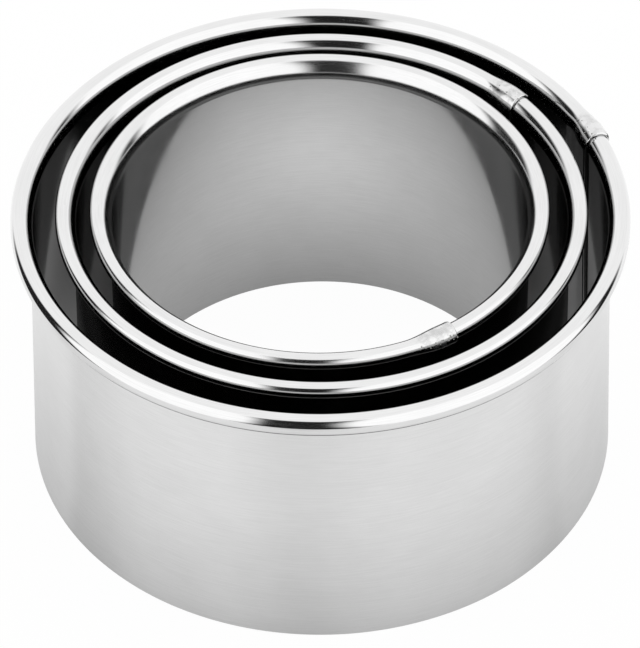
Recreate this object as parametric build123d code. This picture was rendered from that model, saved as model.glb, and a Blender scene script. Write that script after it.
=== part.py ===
"""A nesting set of three round biscuit cutters.

Each cutter is one strip of stainless sheet, rolled into an open-ended ring. Near its top edge the wall
bends outward in a wide shoulder, which runs into a tight hollow curl. One end of the strip is stepped
over the other by the sheet's thickness, wall and rim together, and spot welds hold the lap shut.

The smaller cutters stand loose inside the larger ones, on the same surface.
Millimetres, +Z up, origin at the centre of the outer cutter's lower edge, the viewer's side is -Y.
"""
import os
from math import cos, degrees, radians, sin, tan

from build123d import *

# The whole set
ring_height = 40.0
sheet_thickness = 0.35

# The outer cutter: outside width, radius of its curl, height of the curl's flat outside, radius of the
# shoulder under the rim, and the wall's lean, which makes the lower edge wider than the top
outer_rim_diameter = 80.0
outer_curl_radius = 1.15
outer_curl_flat = 0.6
outer_shoulder_radius = 2.7
outer_wall_lean_degrees = 1.85

# The two smaller cutters, each with the air between its rim and the wall around it
outer_to_middle_gap = 2.74
middle_curl_radius = 1.02
middle_curl_flat = 0.1
middle_shoulder_radius = 2.9
middle_wall_lean_degrees = 1.0
middle_to_inner_gap = 1.97
inner_curl_radius = 1.03
inner_curl_flat = 0.1
inner_shoulder_radius = 3.3
inner_wall_lean_degrees = 0.2

# How far the sheet turns in the shoulder, from upright, and in the curl
shoulder_turn_degrees = 49.0
curl_turn_degrees = 269.0

# Where a smaller ring stands off the centre of the ring around it, as shares of the gap between them
middle_place_shares = (0.055, 0.070)
inner_place_shares = (-0.119, 0.235)

# The lap that closes each ring
lap_length = 1.6
step_length = 4.5
lap_clearance = 0.03
strip_end_gap = 0.3
outer_seam_degrees = 19.4
middle_seam_degrees = 37.3
inner_seam_degrees = -55.1

# Spot welds inside the lap
weld_diameter = 0.8
weld_depth_share = 0.6
wall_weld_height_shares = (0.12, 0.37, 0.62, 0.87)


def polar(radius, angle_degrees):
    """A point in the section plane, from its distance and direction."""
    angle = radians(angle_degrees)
    return Vector(radius * cos(angle), radius * sin(angle))


class Ring:
    """One cutter, built with its seam at the +X side and then turned and stood in its place."""

    def __init__(self, rim_diameter, curl_radius, curl_flat, shoulder_radius, wall_lean_degrees,
                 place, seam_degrees, lap_side):
        self.curl_radius = curl_radius
        self.shoulder_radius = shoulder_radius
        self.wall_lean_degrees = wall_lean_degrees
        self.place = place
        self.seam_degrees = seam_degrees
        self.lap_side = lap_side

        self.curl_start = 180 - shoulder_turn_degrees
        self.upper_centre = Vector(rim_diameter / 2 - curl_radius, ring_height - curl_radius)
        self.lower_centre = self.upper_centre - Vector(0, curl_flat)
        self.shoulder_centre = self.upper_centre - polar(shoulder_radius - curl_radius, self.curl_start)
        self.bore_radius = self.wall_point(self.shoulder_centre.Y, 0)
        self.lap_degrees = degrees(lap_length / self.bore_radius)
        self.step_degrees = degrees(step_length / self.bore_radius)
        self.end_gap_degrees = degrees(strip_end_gap / self.bore_radius)

    def wall_point(self, height, offset):
        """The wall's radius at a height, on a surface that lies an offset inward of its inner face."""
        top = self.wall_top(offset)
        return top.X + (top.Y - height) * tan(radians(self.wall_lean_degrees))

    def wall_top(self, offset):
        """Where the wall runs into the shoulder."""
        return self.shoulder_centre + polar(self.shoulder_radius + offset, 180 + self.wall_lean_degrees)

    def formed_line(self, offset):
        """The wall, shoulder and curl of one face of the sheet, up from the lower edge, and its ends."""
        shoulder_turn = self.curl_start - 180 - self.wall_lean_degrees
        curl_end = self.curl_start - curl_turn_degrees
        curl_radius = self.curl_radius + offset
        foot = Vector(self.wall_point(0, offset), 0)
        tip = self.lower_centre + polar(curl_radius, curl_end)
        edges = [
            Line(foot, self.wall_top(offset)),
            CenterArc(self.shoulder_centre, self.shoulder_radius + offset,
                      180 + self.wall_lean_degrees, shoulder_turn),
            CenterArc(self.upper_centre, curl_radius, self.curl_start, -self.curl_start),
            Line(self.upper_centre + polar(curl_radius, 0), self.lower_centre + polar(curl_radius, 0)),
            CenterArc(self.lower_centre, curl_radius, 0, curl_end),
        ]
        return edges, foot, tip

    def section(self, inset, turn_degrees):
        """The strip's section at one direction round the ring.

        An inset moves the sheet towards its bright side: the wall inward and the curl's outside outward.
        """
        skin, skin_foot, skin_tip = self.formed_line(inset)
        core, core_foot, core_tip = self.formed_line(inset - sheet_thickness)
        ends = [Line(skin_tip, core_tip), Line(core_foot, skin_foot)]
        return Rot(0, 0, turn_degrees) * (Plane.XZ * make_face(skin + core + ends))

    def stand(self, shape):
        """Turn a shape that was built at the +X seam to the ring's own seam and place."""
        if self.lap_side < 0:
            shape = mirror(shape, about=Plane.XZ)
        x, y = self.place
        return Pos(x, y, 0) * Rot(0, 0, self.seam_degrees) * shape

    def strip(self):
        """The whole formed strip: the stepped end over the lap, the step, and the plain rest."""
        lap_inset = sheet_thickness + lap_clearance
        step_end = self.lap_degrees + self.step_degrees
        plain_turn = 360 - self.step_degrees - self.end_gap_degrees

        over_lap = revolve(self.section(lap_inset, 0), Axis.Z, self.lap_degrees)
        step = loft([self.section(lap_inset, self.lap_degrees), self.section(0, step_end)], ruled=True)
        plain = revolve(self.section(0, step_end), Axis.Z, plain_turn)
        return over_lap + step + plain

    def welds(self):
        """Weld nuggets, half in each layer of the lap: a row up the wall and one on top of the rim."""
        depth = weld_depth_share * sheet_thickness + lap_clearance / 2
        mid_lap = Rot(0, 0, (self.lap_degrees - self.end_gap_degrees) / 2)

        nuggets = []
        for share in wall_weld_height_shares:
            height = share * self.shoulder_centre.Y
            lying = Pos(self.wall_point(height, lap_clearance / 2), 0, height) * Rot(0, 90, 0)
            nuggets.append(mid_lap * lying * Cylinder(weld_diameter / 2, 2 * depth))
        on_rim = Pos(self.upper_centre.X, 0, ring_height + lap_clearance / 2)
        nuggets.append(mid_lap * on_rim * Cylinder(weld_diameter / 2, 2 * depth))
        return nuggets


def nested(around, gap, place_shares, **ring_sizes):
    """A ring that stands inside another, with a gap between its rim and the wall around it."""
    place = tuple(start + share * gap for start, share in zip(around.place, place_shares))
    return Ring(2 * (around.bore_radius - gap), place=place, **ring_sizes)


outer = Ring(outer_rim_diameter, outer_curl_radius, outer_curl_flat, outer_shoulder_radius,
             outer_wall_lean_degrees, (0, 0), outer_seam_degrees, lap_side=1)
middle = nested(outer, outer_to_middle_gap, middle_place_shares,
                curl_radius=middle_curl_radius, curl_flat=middle_curl_flat,
                shoulder_radius=middle_shoulder_radius, wall_lean_degrees=middle_wall_lean_degrees,
                seam_degrees=middle_seam_degrees, lap_side=1)
inner = nested(middle, middle_to_inner_gap, inner_place_shares,
               curl_radius=inner_curl_radius, curl_flat=inner_curl_flat,
               shoulder_radius=inner_shoulder_radius, wall_lean_degrees=inner_wall_lean_degrees,
               seam_degrees=inner_seam_degrees, lap_side=-1)

os.makedirs("parts", exist_ok=True)
for name, ring in (("outer", outer), ("middle", middle), ("inner", inner)):
    nuggets = ring.welds()
    strip = ring.strip() - nuggets
    export_step(ring.stand(strip), f"parts/{name}_ring.step")
    export_step(Compound([ring.stand(nugget) for nugget in nuggets]), f"parts/{name}_seam_welds.step")
    print(name, "rim", round(2 * (ring.upper_centre.X + ring.curl_radius), 3),
          "bore at the top", round(2 * ring.bore_radius, 3), "at the foot", round(2 * ring.wall_point(0, 0), 3),
          "place", ring.place, "valid", strip.is_valid)
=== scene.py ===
"""Looks of a nesting set of three round biscuit cutters.

Each cutter is one strip of polished steel sheet, rolled round and lapped, with its top edge curled
outward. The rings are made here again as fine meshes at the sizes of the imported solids, with rounded
sheet edges, a softly pressed step at the lap and slightly wavy walls.
Metres, +Z up. The viewer's side is -Y.
"""
from math import cos, degrees, pi, radians, sin, tan
from random import Random

import bpy
from mathutils import Matrix, Vector, noise


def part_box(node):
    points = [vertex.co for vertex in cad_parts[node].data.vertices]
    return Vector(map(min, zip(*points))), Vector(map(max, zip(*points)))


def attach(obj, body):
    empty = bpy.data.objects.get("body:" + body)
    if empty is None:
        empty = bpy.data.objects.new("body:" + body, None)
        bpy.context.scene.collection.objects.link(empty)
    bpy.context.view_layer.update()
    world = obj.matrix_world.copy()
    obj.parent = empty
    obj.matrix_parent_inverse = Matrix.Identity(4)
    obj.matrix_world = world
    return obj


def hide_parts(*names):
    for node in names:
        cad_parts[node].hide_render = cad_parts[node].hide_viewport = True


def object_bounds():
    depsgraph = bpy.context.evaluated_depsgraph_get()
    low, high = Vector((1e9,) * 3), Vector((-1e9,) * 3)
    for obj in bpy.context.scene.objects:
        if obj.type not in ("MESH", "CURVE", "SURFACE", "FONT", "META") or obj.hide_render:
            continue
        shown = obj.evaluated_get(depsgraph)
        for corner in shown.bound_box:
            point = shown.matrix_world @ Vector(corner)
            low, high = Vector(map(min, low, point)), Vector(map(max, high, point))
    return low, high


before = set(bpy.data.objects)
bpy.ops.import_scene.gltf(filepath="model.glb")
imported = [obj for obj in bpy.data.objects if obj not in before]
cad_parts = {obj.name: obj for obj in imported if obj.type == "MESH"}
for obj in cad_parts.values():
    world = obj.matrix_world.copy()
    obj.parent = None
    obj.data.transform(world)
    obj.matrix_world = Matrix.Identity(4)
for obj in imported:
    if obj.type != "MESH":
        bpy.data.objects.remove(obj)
cad_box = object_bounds()
rim_radius = cad_box[1][0]
rim_height = cad_box[1][2]

mm = 0.001

# The formed sheet: its thickness, the rounding of its cut edges and of the stepped end over the lap, and
# how far it turns in the shoulder, from upright, and in the curl
sheet_thickness = 0.35 * mm
edge_rounding = 0.05 * mm
lap_end_rounding = 0.16 * mm
shoulder_turn_degrees = 49.0
curl_turn_degrees = 269.0

# Each cutter's curl radius, flat on the curl's outside, shoulder radius and the wall's lean in degrees
outer_form = (1.15 * mm, 0.6 * mm, 2.7 * mm, 1.85)
middle_form = (1.02 * mm, 0.1 * mm, 2.9 * mm, 1.0)
inner_form = (1.03 * mm, 0.1 * mm, 3.3 * mm, 0.2)

# The lap that closes each ring
lap_length = 1.6 * mm
step_length = 4.5 * mm
lap_clearance = 0.03 * mm
strip_end_gap = 0.3 * mm
lap_inset = sheet_thickness + lap_clearance
outer_seam_degrees = 19.4
middle_seam_degrees = 37.3
inner_seam_degrees = -55.1

# Waves that rolling leaves in the wall, longer up the wall than round it, fading out below the rim
wave_height = 0.05 * mm
wave_length = 14.0 * mm
wave_upright_stretch = 4
wave_fade_height = 9.0 * mm

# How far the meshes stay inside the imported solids' box
box_sliver = 0.01 * mm

# Mesh fineness: the distance between sections on the plain strip and near the lap, how many steps' lengths
# past the lap the close ones go on, the rows up the wall, the facets of bends and of cut edges, and the
# angle from which an edge is sharp
plain_spacing = 0.5 * mm
lap_spacing = 0.2 * mm
close_steps = 2
wall_rows = 12
facet_length = 0.1 * mm
edge_facets = 4
sharp_angle_degrees = 50

# The photograph's camera, as solved from the rims and the lower edge
image_height_pixels = 648
focal_length_pixels = 4350.8
sensor_size_mm = 36.0
camera_aim = Vector((-0.140, 0.0, 18.391)) * mm
camera_distance = 576.0 * mm
camera_elevation_degrees = 43.841
camera_roll_degrees = -0.352
camera_clip_start = 10 * mm

# The wall's satin finish ends and the rim's polish begins
wall_finish_top = 36.5 * mm
rim_finish_bottom = 38.0 * mm

# Marks in the metals are drawn by noises, each with its count in a metre, detail and roughness. The lines
# and bands are drawn on the unrolled strip and stretched: along the strip, through the sheet and up it
line_noise = (1.0, 3.0, 0.6)
band_noise = (1.0, 3.0, 0.5)
cloud_noise = (160.0, 4.0, 0.5)
mottle_noise = (1000.0, 4.0, 0.65)
grain_noise = (4000.0, 3.0, 0.5)
tint_noise = (900.0, 2.0, 0.5)
line_stretch = (250, 9000, 9000)
band_stretch = (260, 260, 8)
unrolled_radius = 30 * mm

# The range that a noise mostly keeps to, and the ranges of those that leave some places clear
noise_range = (0.3, 0.7)
cloud_range = (0.35, 0.7)
rim_line_range = (0.4, 0.7)
mottle_range = (0.38, 0.66)

# The steel's grey and the wall's roughness, each with what the fine lines add to it, what clouds and lines
# add to the rim's roughness, and how deep the lines are
steel_grey_range = (0.69, 0.71)
line_grey_range = (-0.02, 0.02)
wall_roughness_range = (0.09, 0.13)
wall_line_roughness_range = (-0.015, 0.015)
rim_cloud_roughness = 0.03
rim_line_roughness = 0.05
line_bump_strength = 0.06
line_bump_depth = 0.004 * mm

# How dull each cutter's rim is polished
outer_rim_roughness = 0.065
middle_rim_roughness = 0.075
inner_rim_roughness = 0.115

# The lap's burnt patch: where it begins, is full, begins to fade and ends, as shares of its length, how far
# it fades around the bottom of the rim's polish, and how far it darkens each cutter's steel
burn_length = 5.0 * mm
burn_edge_shares = (-0.02, 0.06, 0.7, 1.15)
burn_fade_below = 1.5 * mm
burn_fade_above = 0.5 * mm
burn_roughness = 0.16
burn_relief = 3.0
outer_burn_shade = 0.18
middle_burn_shade = 0.26
inner_burn_shade = 0.22

# Weld metal: its grey, its blue as a share of that, its roughness and its grain
weld_grey_range = (0.36, 0.5)
weld_blue_shares = (0.94, 1.0)
weld_roughness_range = (0.35, 0.5)
weld_bump_strength = 0.4
weld_bump_depth = 0.05 * mm

# Drops of fused metal at the lap: the part of the rim that they stand on, as degrees round the curl or the
# shoulder, and how many
outer_drops = (116.0, 146.0, 12)
middle_drops = (112.0, 140.0, 7)
inner_drops = (4.0, 34.0, 30)

# How they crowd towards the stepped end, the largest width and height of one, the share of both that is a
# drop's size, the further share that its height takes, and the width and height of its levels as shares
drop_crowding = 1.6
drop_width = 0.24 * mm
drop_height = 0.16 * mm
drop_size_shares = (0.35, 1.0)
drop_height_shares = (0.5, 1.0)
drop_level_shares = [(1.0, 0.0), (0.8, 0.55), (0.4, 0.9)]
drop_sides = 8
drop_sunk = 0.08 * mm

# Studio: its white walls, the pale floor, the distances between which the floor gives way to the walls
# painted on it in mirrors, and how far from the steel the floor's glow in mirrors carries a painted shade
studio_white = 1.19
floor_radius = 5.0
floor_sides = 64
floor_colour = 0.85
studio_near = 80 * mm
studio_far = 88 * mm
contact_reach = 25 * mm
contact_samples = 8

# Painted shade for rays that the steel mirrors more than once: what each mirroring after the first leaves of
# the light, where the ray ends on the floor, as most from the walls do, and where it ends in the world, as
# from the rims. The depths are those of a ray mirrored once
wall_painted_bounce_share = 0.34
rim_painted_bounce_share = 0.7
floor_mirror_depth = 1.0
world_mirror_depth = 2.0

# How much of the floor is plain white to the camera and glows in the steel, and how bright that glow, a
# painted light, is in the steel around the set and inside it. It changes from this share of the set's radius
# outward
white_seen = 0.97
white_mirrored = 0.35
white_mirrored_outside = 1.15
white_mirrored_inside = 1.38
inside_share = 0.7

# The paper's painted sheen, a painted reflection of the studio's walls in the steel: how much of it, from
# which share of the set's radius outward, and the elevation and softness of the walls in it
painted_paper_sheen = 0.08
sheen_start_share = 0.8
sheen_elevation = 9.0
sheen_softness = 0.55

# The dark curtain on the viewer's side and the two softboxes before it, each as the direction of its
# middle and its half size, all in degrees: azimuth (0 towards the viewer, + to the right), elevation,
# half width and half height
curtain = (-5.0, -20.0, 128.0, 78.0)
softboxes = [(-57.0, 9.0, 36.0, 56.0), (53.0, 9.0, 47.0, 56.0)]
curtain_level = 0.02
softbox_level = 1.38
curtain_softness = 0.05
softbox_softness = 0.12
curtain_squareness = 2.0
softbox_squareness = 3.0


def smooth_rise(value):
    """0 below 0, 1 above 1, and a smooth rise between."""
    value = min(max(value, 0.0), 1.0)
    return value * value * (3 - 2 * value)


def direction(angle_degrees):
    """A unit vector in the section's plane."""
    return Vector((cos(radians(angle_degrees)), sin(radians(angle_degrees))))


def spaced(start, end, spacing):
    """Even places past start and up to end, each as (place, no loss of half thickness)."""
    count = round((end - start) / spacing)
    return [(start + (end - start) * index / count, 0.0) for index in range(1, count + 1)]


def rounded_edge(end, away, along, half_thickness):
    """Points round a cut edge of the sheet, from the side that away points to, to the other side."""
    points = []
    rounding = min(edge_rounding, half_thickness / 2)
    for side in (1, -1):
        corner = end + side * away * (half_thickness - rounding) - along * rounding
        for facet in range(edge_facets + 1):
            angle = radians(90 * (facet if side > 0 else edge_facets - facet) / edge_facets)
            points.append(corner + rounding * (side * away * cos(angle) + along * sin(angle)))
    return points


def end_cap(start, count):
    """Faces that close one end of the strip, each from one face of the sheet straight to the other."""
    edge_points = edge_facets + 1
    rungs = [(start + index % count, start + (count - 2 * edge_points - 1 - index) % count)
             for index in range(-edge_points, count // 2 - edge_points)]
    return [(low, next_low, next_high, high) for (low, high), (next_low, next_high) in zip(rungs, rungs[1:])]


def mesh_object(name, points, faces):
    """A mesh object, smooth but for its sharp edges."""
    mesh = bpy.data.meshes.new(name)
    mesh.from_pydata(points, [], faces)
    mesh.validate()
    thing = bpy.data.objects.new(name, mesh)
    bpy.context.scene.collection.objects.link(thing)
    mesh.shade_smooth()
    mesh.set_sharp_from_angle(angle=radians(sharp_angle_degrees))
    return thing


class Ring:
    """One cutter's strip of sheet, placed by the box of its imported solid."""

    def __init__(self, name, form, seam_degrees, lap_side, seed, burn_shade, rim_roughness, drops):
        low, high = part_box(f"{name}_ring")
        self.name = name
        self.centre = Vector(((low.x + high.x) / 2, (low.y + high.y) / 2, 0))
        rim_top = high.z - lap_inset - box_sliver
        self.curl_radius, curl_flat, self.shoulder_radius, self.lean_degrees = form
        self.curl_start = 180 - shoulder_turn_degrees
        self.upper_centre = Vector(((high.x - low.x) / 2 - box_sliver, rim_top))
        self.upper_centre -= Vector((1, 1)) * self.curl_radius
        self.lower_centre = self.upper_centre - Vector((0, curl_flat))
        self.shoulder_centre = (self.upper_centre
                                - (self.shoulder_radius - self.curl_radius) * direction(self.curl_start))
        self.bore_radius = self.shoulder_centre.x - self.shoulder_radius
        self.seam_degrees = seam_degrees
        self.lap_side = lap_side
        self.seed = seed
        self.burn_shade = burn_shade
        self.rim_roughness = rim_roughness
        self.drops = drops

    def turn(self, length):
        """Degrees round the ring that a length of strip takes."""
        return degrees(length / self.bore_radius)

    def arc(self, centre, radius, offset, start, end):
        """Points along an arc of the sheet's middle, each with the way that its bright side faces."""
        facets = round(radians(abs(end - start)) * radius / facet_length)
        angles = [start + (end - start) * facet / facets for facet in range(facets + 1)]
        return [(centre + (radius + offset) * direction(angle), direction(angle)) for angle in angles]

    def section(self, inset, half_thickness):
        """The formed sheet's outline as points (radius, height), round from the lower edge's inside."""
        offset = inset - sheet_thickness / 2
        curl_end = self.curl_start - curl_turn_degrees
        wall_side = 180 + self.lean_degrees
        bend = self.arc(self.shoulder_centre, self.shoulder_radius, offset, wall_side, self.curl_start)
        bend += self.arc(self.upper_centre, self.curl_radius, offset, self.curl_start, 0)[1:]
        bend += self.arc(self.lower_centre, self.curl_radius, offset, 0, curl_end)

        top, away = bend[0]
        foot = top + Vector((tan(radians(self.lean_degrees)), -1)) * (top.y - box_sliver)
        shares = [edge_rounding / top.y, 2 * edge_rounding / top.y]
        shares += [row / wall_rows for row in range(1, wall_rows)]
        line = [(foot.lerp(top, share), away) for share in shares] + bend

        skin = [point + half_thickness * away for point, away in line]
        core = [point - half_thickness * away for point, away in line]
        foot_edge = rounded_edge(foot, -away, (foot - top).normalized(), half_thickness)
        tip, tip_away = bend[-1]
        lip = rounded_edge(tip + edge_rounding * direction(curl_end - 90), tip_away,
                           direction(curl_end - 90), half_thickness)
        return skin + lip + core[::-1] + foot_edge

    def skin(self, angle, inset):
        """The bright face's radius, height and facing, at an angle round the curl or the shoulder."""
        facing = direction(angle)
        if angle > self.curl_start:
            place = self.shoulder_centre + (self.shoulder_radius + inset) * facing
        else:
            centre = self.upper_centre if angle > 0 else self.lower_centre
            place = centre + (self.curl_radius + inset) * facing
        return place.x, place.y, facing

    def rounded_end(self, rounding):
        """Places at a rounded end of the strip as (degrees from the end, loss of half thickness)."""
        angles = [radians(90 * facet / edge_facets) for facet in range(edge_facets + 1)]
        places = [(self.turn(rounding * (1 - cos(angle))), rounding * (1 - sin(angle))) for angle in angles]
        return places + [(self.turn(2 * rounding), 0.0)]

    def rise(self, place):
        """How far the strip stands off its plain course, some degrees past its stepped end."""
        return lap_inset * (1 - smooth_rise((place - self.turn(lap_length)) / self.turn(step_length)))

    def stations(self):
        """Places along the strip as (degrees from its stepped end, inset, half thickness)."""
        stepped_end = self.rounded_end(lap_end_rounding)
        plain_end = self.rounded_end(edge_rounding)
        close_end = self.turn(lap_length) + close_steps * self.turn(step_length)
        strip_end = 360 + self.turn(lap_length) - self.turn(strip_end_gap)
        places = stepped_end + spaced(stepped_end[-1][0], close_end, self.turn(lap_spacing))
        places += spaced(close_end, strip_end - plain_end[-1][0], self.turn(plain_spacing))
        places += [(strip_end - back, loss) for back, loss in plain_end[-2::-1]]
        return [(place, self.rise(place) - loss, sheet_thickness / 2 - loss) for place, loss in places]

    def wave(self, angle, height):
        """How far the wall stands out of true, in metres."""
        fade = smooth_rise((self.shoulder_centre.y - height) / wave_fade_height)
        turns = self.bore_radius / wave_length
        upright = height / wave_length / wave_upright_stretch + self.seed
        return wave_height * fade * noise.noise(Vector((cos(angle) * turns, sin(angle) * turns, upright)))

    def build(self):
        """The ring as a mesh object."""
        points, faces = [], []
        stations = self.stations()
        for place, inset, half_thickness in stations:
            angle = radians(self.seam_degrees + self.lap_side * place)
            outline = self.section(inset, half_thickness)
            for radius, height in outline:
                radius += self.wave(angle, height)
                points.append(self.centre + Vector((radius * cos(angle), radius * sin(angle), height)))
        count = len(outline)
        last = (len(stations) - 1) * count
        for start in range(0, last, count):
            for index in range(count):
                after = (index + 1) % count
                faces.append((start + index, start + after, start + count + after, start + count + index))
        faces += [face[::-1] for face in end_cap(0, count)]
        faces += end_cap(last, count)
        if self.lap_side < 0:
            faces = [face[::-1] for face in faces]
        return mesh_object(f"{self.name}_ring_sheet", points, faces)


def dome(centre, away, side, up, width, height):
    """A small drop of metal as points and faces: a dome that stands on a surface, its foot sunk in."""
    points, faces = [], []
    levels = [(1.0, -drop_sunk / height)] + drop_level_shares
    for spread, rise in levels:
        for count in range(drop_sides):
            angle = 2 * pi * count / drop_sides
            round_drop = side * cos(angle) + up * sin(angle)
            points.append(centre + round_drop * spread * width / 2 + away * rise * height)
    points.append(centre + away * height)
    for level in range(len(levels) - 1):
        for count in range(drop_sides):
            after = (count + 1) % drop_sides
            low, high = level * drop_sides, (level + 1) * drop_sides
            faces.append((low + count, low + after, high + after, high + count))
    tip, last = len(points) - 1, (len(levels) - 1) * drop_sides
    faces += [(last + count, last + (count + 1) % drop_sides, tip) for count in range(drop_sides)]
    faces.append(tuple(range(drop_sides))[::-1])
    return points, faces


def fused_drops(ring):
    """The drops of fused metal along one cutter's lap, as one mesh object."""
    start, end, count = ring.drops
    chance = Random(ring.seed)
    points, faces = [], []
    for drop in range(count):
        curl_angle = chance.uniform(start, end)
        along = chance.random() ** drop_crowding * ring.turn(burn_length)
        size = chance.uniform(*drop_size_shares)
        own_height = chance.uniform(*drop_height_shares) * size * drop_height

        angle = radians(ring.seam_degrees + ring.lap_side * along)
        radius, height, facing = ring.skin(curl_angle, ring.rise(along))
        outward = Vector((cos(angle), sin(angle), 0))
        away = outward * facing.x + Vector((0, 0, 1)) * facing.y
        side = Vector((-sin(angle), cos(angle), 0))
        centre = ring.centre + outward * radius + Vector((0, 0, height))
        drop_points, drop_faces = dome(centre, away, side, away.cross(side), size * drop_width, own_height)
        first = len(points)
        points += drop_points
        faces += [tuple(first + index for index in face) for face in drop_faces]
    return mesh_object(f"{ring.name}_fused_drops", points, faces)


class Nodes:
    """A node tree with short calls for what these materials need."""

    def __init__(self, tree):
        self.tree = tree
        self.tree.nodes.clear()

    def new(self, kind, inputs=None, **settings):
        node = self.tree.nodes.new(kind)
        for name, value in settings.items():
            setattr(node, name, value)
        for socket, value in (inputs or {}).items():
            self.feed(node, socket, value)
        return node

    def feed(self, node, socket, value):
        if isinstance(value, bpy.types.NodeSocket):
            self.tree.links.new(value, node.inputs[socket])
        else:
            node.inputs[socket].default_value = value

    def math(self, operation, *values):
        node = self.new("ShaderNodeMath", operation=operation)
        for index, value in enumerate(values):
            self.feed(node, index, value)
        return node.outputs[0]

    def add(self, first, second):
        return self.math("ADD", first, second)

    def subtract(self, first, second):
        return self.math("SUBTRACT", first, second)

    def multiply(self, first, second):
        return self.math("MULTIPLY", first, second)

    def divide(self, first, second):
        return self.math("DIVIDE", first, second)

    def angle(self, aside, ahead):
        """Degrees from straight ahead."""
        return self.math("DEGREES", self.math("ARCTAN2", aside, ahead))

    def map(self, value, start, end, low=0.0, high=1.0):
        """A smooth change from low, where the value is start, to high, where it is end."""
        inputs = {"Value": value, "From Min": start, "From Max": end, "To Min": low, "To Max": high}
        return self.new("ShaderNodeMapRange", inputs, interpolation_type="SMOOTHSTEP").outputs["Result"]

    def blend(self, share, first, second):
        """The first value where share is 0, the second where it is 1."""
        inputs = {"Factor": share, 2: first, 3: second}
        return self.new("ShaderNodeMix", inputs, data_type="FLOAT").outputs[0]

    def band(self, value, rise_start, rise_end, fall_start, fall_end):
        """1 between two smooth edges and 0 outside them."""
        rise = self.map(value, rise_start, rise_end)
        fall = self.map(value, fall_end, fall_start)
        return self.multiply(rise, fall)

    def noise(self, vector, scale, detail, roughness):
        inputs = {"Vector": vector, "Scale": scale, "Detail": detail, "Roughness": roughness}
        return self.new("ShaderNodeTexNoise", inputs).outputs["Fac"]

    def stretched(self, vector, scale):
        """The same coordinates, stretched by a factor along each axis."""
        return self.new("ShaderNodeMapping", {"Vector": vector, "Scale": scale}).outputs["Vector"]

    def axes(self, vector):
        """The vector's three parts, by their names X, Y and Z."""
        return self.new("ShaderNodeSeparateXYZ", {0: vector}).outputs

    def emission(self, strength):
        return self.new("ShaderNodeEmission", {"Strength": strength}).outputs[0]

    def mix_shaders(self, share, first, second):
        """The first shader where share is 0, the second where it is 1."""
        return self.new("ShaderNodeMixShader", {0: share, 1: first, 2: second}).outputs[0]

    def metal(self, grey, blue, roughness, relief, bump_strength, bump_depth):
        """Bare metal as the material's surface. Its red and green are its grey."""
        colour = self.new("ShaderNodeCombineColor", {0: grey, 1: grey, 2: blue}).outputs[0]
        bump_inputs = {"Strength": bump_strength, "Distance": bump_depth, "Height": relief}
        normal = self.new("ShaderNodeBump", bump_inputs).outputs[0]
        inputs = {"Base Color": colour, "Metallic": 1.0, "Roughness": roughness, "Normal": normal}
        shader = self.new("ShaderNodeBsdfPrincipled", inputs)
        self.new("ShaderNodeOutputMaterial", {"Surface": shader.outputs[0]})


def node_material(name):
    """A new material and its empty node tree."""
    material = bpy.data.materials.new(name)
    material.use_nodes = True
    return material, Nodes(material.node_tree)


def steel(ring):
    """Bright rolled steel: a satin wall with fine lines round it, and a polished rim, burnt at the lap."""
    material, nodes = node_material(f"polished_steel_{ring.name}")
    place = nodes.new("ShaderNodeTexCoord").outputs["Object"]
    axes = nodes.axes(place)
    squares = [nodes.multiply(axes[name], axes[name]) for name in ("X", "Y")]
    radius = nodes.math("POWER", nodes.add(*squares), 0.5)
    round_way = nodes.multiply(nodes.math("ARCTAN2", axes["Y"], axes["X"]), unrolled_radius)
    unrolled = nodes.new("ShaderNodeCombineXYZ", {0: round_way, 1: radius, 2: axes["Z"]}).outputs[0]

    lines = nodes.noise(nodes.stretched(unrolled, line_stretch), *line_noise)
    bands = nodes.noise(nodes.stretched(unrolled, band_stretch), *band_noise)
    cloud = nodes.noise(place, *cloud_noise)
    burn = burnt_lap(nodes, place, axes["Z"], ring)

    grey = nodes.add(nodes.map(cloud, *noise_range, *steel_grey_range),
                     nodes.map(lines, *noise_range, *line_grey_range))
    unburnt = nodes.subtract(1.0, nodes.multiply(burn, ring.burn_shade))
    grey = nodes.multiply(grey, unburnt)

    wall_roughness = nodes.add(nodes.map(bands, *noise_range, *wall_roughness_range),
                               nodes.map(lines, *noise_range, *wall_line_roughness_range))
    clouded = ring.rim_roughness + rim_cloud_roughness
    rim_roughness = nodes.add(nodes.map(cloud, *cloud_range, ring.rim_roughness, clouded),
                              nodes.map(lines, *rim_line_range, 0.0, rim_line_roughness))
    on_rim = nodes.map(axes["Z"], wall_finish_top, rim_finish_bottom)
    roughness = nodes.blend(on_rim, wall_roughness, rim_roughness)
    roughness = nodes.add(roughness, nodes.multiply(burn, burn_roughness))

    relief = nodes.add(lines, nodes.multiply(burn, burn_relief))
    nodes.metal(grey, grey, roughness, relief, line_bump_strength, line_bump_depth)
    return material


def burnt_lap(nodes, place, height, ring):
    """Where the rim's lap is mottled by the weld's heat, from 0 to 1."""
    inputs = {0: place, 1: ring.centre}
    from_centre = nodes.new("ShaderNodeVectorMath", inputs, operation="SUBTRACT").outputs["Vector"]
    axes = nodes.axes(from_centre)
    past_seam = nodes.subtract(nodes.angle(axes["Y"], axes["X"]), ring.seam_degrees)
    past_seam = nodes.multiply(past_seam, float(ring.lap_side))
    on_lap = nodes.band(past_seam, *[share * ring.turn(burn_length) for share in burn_edge_shares])
    on_rim = nodes.map(height, rim_finish_bottom - burn_fade_below, rim_finish_bottom + burn_fade_above)
    mottle = nodes.map(nodes.noise(place, *mottle_noise), *mottle_range)
    return nodes.multiply(nodes.multiply(on_lap, on_rim), mottle)


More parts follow.
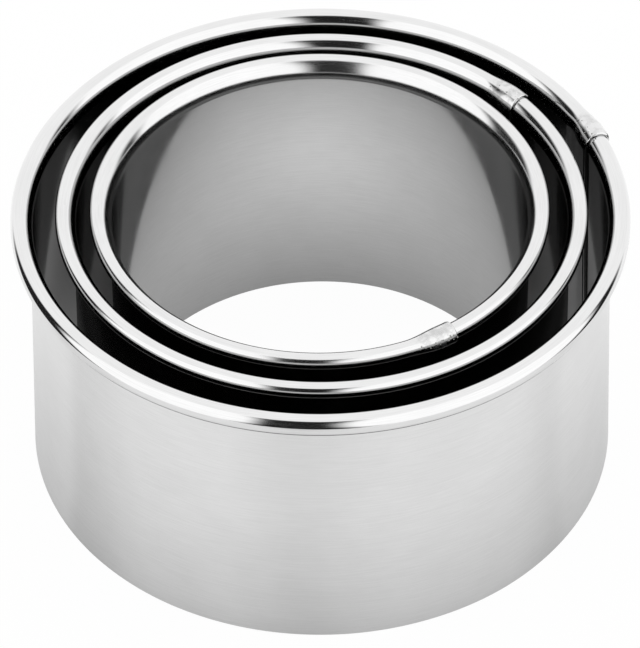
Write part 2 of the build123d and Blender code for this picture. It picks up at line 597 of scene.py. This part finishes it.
def weld_metal(name):
    """Dull fused steel with a grainy, heat-tinted surface."""
    material, nodes = node_material(name)
    place = nodes.new("ShaderNodeTexCoord").outputs["Object"]
    grain = nodes.noise(place, *grain_noise)
    tint = nodes.noise(place, *tint_noise)
    grey = nodes.map(grain, *noise_range, *weld_grey_range)
    blue = nodes.multiply(grey, nodes.map(tint, *noise_range, *weld_blue_shares))
    roughness = nodes.map(tint, *noise_range, *weld_roughness_range)
    nodes.metal(grey, blue, roughness, grain, weld_bump_strength, weld_bump_depth)
    return material


def oval(nodes, azimuth, elevation, shape, squareness, softness):
    """1 inside an oval of directions and 0 outside it, with a soft edge."""
    middle_azimuth, middle_elevation, half_width, half_height = shape
    aside = nodes.divide(nodes.subtract(azimuth, middle_azimuth), half_width)
    above = nodes.divide(nodes.subtract(elevation, middle_elevation), half_height)
    parts = [nodes.math("POWER", nodes.math("ABSOLUTE", part), squareness) for part in (aside, above)]
    reach = nodes.math("POWER", nodes.add(*parts), 1 / squareness)
    edge = nodes.divide(nodes.subtract(reach, 1.0), softness)
    return nodes.map(edge, 1.0, -1.0)


def studio_level(nodes, axes, elevation, spread=1.0, softness=softbox_softness):
    """Brightness of the studio's walls: white, but for a dark curtain with two softboxes before it.

    The axes give the way over the floor. A spread widens its azimuth, for rays that start off the middle.
    """
    ahead = nodes.multiply(axes["Y"], -1.0)
    azimuth = nodes.multiply(nodes.angle(axes["X"], ahead), spread)
    dark = oval(nodes, azimuth, elevation, curtain, curtain_squareness, curtain_softness)
    level = nodes.blend(dark, studio_white, curtain_level)
    for softbox in softboxes:
        lit = oval(nodes, azimuth, elevation, softbox, softbox_squareness, softness)
        level = nodes.blend(lit, level, softbox_level)
    return level


def painted_bounce_shade(nodes, path, first_depth, next_mirror_share):
    """Painted shade: the share of the studio's light left for a ray that the steel has mirrored more than
    once.
    """
    more = nodes.math("MAXIMUM", nodes.subtract(path["Ray Depth"], first_depth), 0.0)
    return nodes.math("POWER", next_mirror_share, nodes.multiply(more, path["Is Glossy Ray"]))


def white_paper(nodes, path, distance):
    """Paper almost plain white to the camera; in the steel it glows, with painted shade near the set,
    painted light inside it.
    """
    seen = nodes.math("MAXIMUM", path["Is Camera Ray"], path["Is Transmission Ray"])
    mirrored = path["Is Glossy Ray"]
    share = nodes.add(nodes.multiply(seen, white_seen), nodes.multiply(mirrored, white_mirrored))
    painted_contact_shade = nodes.new("ShaderNodeAmbientOcclusion", {"Distance": contact_reach}, samples=contact_samples)
    inside_out = nodes.map(distance, inside_share * rim_radius, rim_radius,
                           white_mirrored_inside, white_mirrored_outside)
    # Painted shade and light: in the steel the paper's glow is darker close to the steel and brighter inside
    # the set
    level = nodes.blend(mirrored, 1.0, nodes.multiply(painted_contact_shade.outputs["AO"], inside_out))
    matt = nodes.new("ShaderNodeBsdfDiffuse", {"Color": (floor_colour, floor_colour, floor_colour, 1)})
    return nodes.mix_shaders(share, matt.outputs[0], nodes.emission(level))


def painted_walls_on_floor(nodes, axes, distance):
    """The studio's walls painted on the floor for mirrored rays, and how much of them shows: all, or a
    painted sheen near by.
    """
    beyond = nodes.map(distance, studio_near, studio_far)
    downward = nodes.multiply(nodes.angle(rim_height, nodes.subtract(distance, rim_radius)), -1.0)
    twice = nodes.multiply(distance, 2.0)
    spread = nodes.divide(twice, nodes.subtract(twice, rim_radius))
    level = studio_level(nodes, axes, nodes.blend(beyond, sheen_elevation, downward), spread,
                         nodes.blend(beyond, sheen_softness, softbox_softness))
    near_painted_sheen = nodes.map(distance, sheen_start_share * rim_radius, rim_radius, 0.0, painted_paper_sheen)
    return nodes.emission(level), nodes.blend(beyond, near_painted_sheen, 1.0)


def studio_floor():
    """A plain pale floor that keeps the object's shadow; in mirrors it glows with painted light and shade
    and ends at walls painted on it.
    """
    angles = [2 * pi * side / floor_sides for side in range(floor_sides)]
    points = [(floor_radius * cos(angle), floor_radius * sin(angle), 0) for angle in angles]
    floor = mesh_object("floor", points, [tuple(range(floor_sides))])
    material, nodes = node_material("floor_paper")
    path = nodes.new("ShaderNodeLightPath").outputs
    place = nodes.new("ShaderNodeTexCoord").outputs["Object"]
    distance = nodes.new("ShaderNodeVectorMath", {0: place}, operation="LENGTH").outputs["Value"]

    paper = white_paper(nodes, path, distance)
    walls, walls_share = painted_walls_on_floor(nodes, nodes.axes(place), distance)
    # Painted reflection: for mirrored rays the floor shows the studio's walls far out and their painted
    # sheen near the set
    surface = nodes.mix_shaders(nodes.multiply(walls_share, path["Is Glossy Ray"]), paper, walls)
    # Painted shade: the floor goes darker for rays that the steel mirrors more than once
    left_by_painted_shade = painted_bounce_shade(nodes, path, floor_mirror_depth, wall_painted_bounce_share)
    surface = nodes.mix_shaders(left_by_painted_shade, nodes.emission(0.0), surface)
    nodes.new("ShaderNodeOutputMaterial", {"Surface": surface})
    material.cycles.emission_sampling = "NONE"
    floor.data.materials.append(material)


def studio_world():
    """The studio's walls all round, and plain white behind the set for the camera."""
    world = bpy.data.worlds.new("studio")
    bpy.context.scene.world = world
    world.use_nodes = True
    nodes = Nodes(world.node_tree)
    axes = nodes.axes(nodes.new("ShaderNodeTexCoord").outputs["Generated"])
    level = studio_level(nodes, axes, nodes.math("DEGREES", nodes.math("ARCSINE", axes["Z"])))
    path = nodes.new("ShaderNodeLightPath").outputs
    # Painted shade: the world goes darker for rays that the steel mirrors more than once
    level = nodes.multiply(level, painted_bounce_shade(nodes, path, world_mirror_depth, rim_painted_bounce_share))
    level = nodes.blend(path["Is Camera Ray"], level, 1.0)
    light = nodes.new("ShaderNodeBackground", {"Color": (1, 1, 1, 1), "Strength": level})
    nodes.new("ShaderNodeOutputWorld", {"Surface": light.outputs[0]})
    world.cycles.sampling_method = "NONE"


def photo_camera():
    """The camera at the photograph's place, looking the same way."""
    elevation = radians(camera_elevation_degrees)
    roll = radians(camera_roll_degrees)
    forward = Vector((0, cos(elevation), -sin(elevation)))
    level_right = Vector((1, 0, 0))
    level_up = level_right.cross(forward)
    right = level_right * cos(roll) + level_up * sin(roll)
    up = level_up * cos(roll) - level_right * sin(roll)
    place = camera_aim - forward * camera_distance
    camera = bpy.data.objects.new("camera", bpy.data.cameras.new("camera"))
    bpy.context.scene.collection.objects.link(camera)
    axes = Matrix((right, up, -forward)).transposed()
    camera.matrix_world = Matrix.Translation(place) @ axes.to_4x4()
    camera.data.sensor_width = sensor_size_mm
    camera.data.lens = focal_length_pixels / image_height_pixels * sensor_size_mm
    camera.data.clip_start = camera_clip_start
    bpy.context.scene.camera = camera


rings = [
    Ring("outer", outer_form, outer_seam_degrees, lap_side=1, seed=3.0, burn_shade=outer_burn_shade,
         rim_roughness=outer_rim_roughness, drops=outer_drops),
    Ring("middle", middle_form, middle_seam_degrees, lap_side=1, seed=11.0, burn_shade=middle_burn_shade,
         rim_roughness=middle_rim_roughness, drops=middle_drops),
    Ring("inner", inner_form, inner_seam_degrees, lap_side=-1, seed=23.0, burn_shade=inner_burn_shade,
         rim_roughness=inner_rim_roughness, drops=inner_drops),
]
fused = weld_metal("weld_steel")
for ring in rings:
    for metal_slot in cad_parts[f"{ring.name}_seam_welds"].material_slots:
        metal_slot.material = fused
    sheet = ring.build()
    sheet.data.materials.append(steel(ring))
    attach(sheet, f"{ring.name}_cutter")
    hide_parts(f"{ring.name}_ring")

    drops = fused_drops(ring)
    drops.data.materials.append(fused)
    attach(drops, f"{ring.name}_cutter")

studio_floor()
studio_world()
photo_camera()
bpy.context.scene.view_settings.view_transform = "Standard"
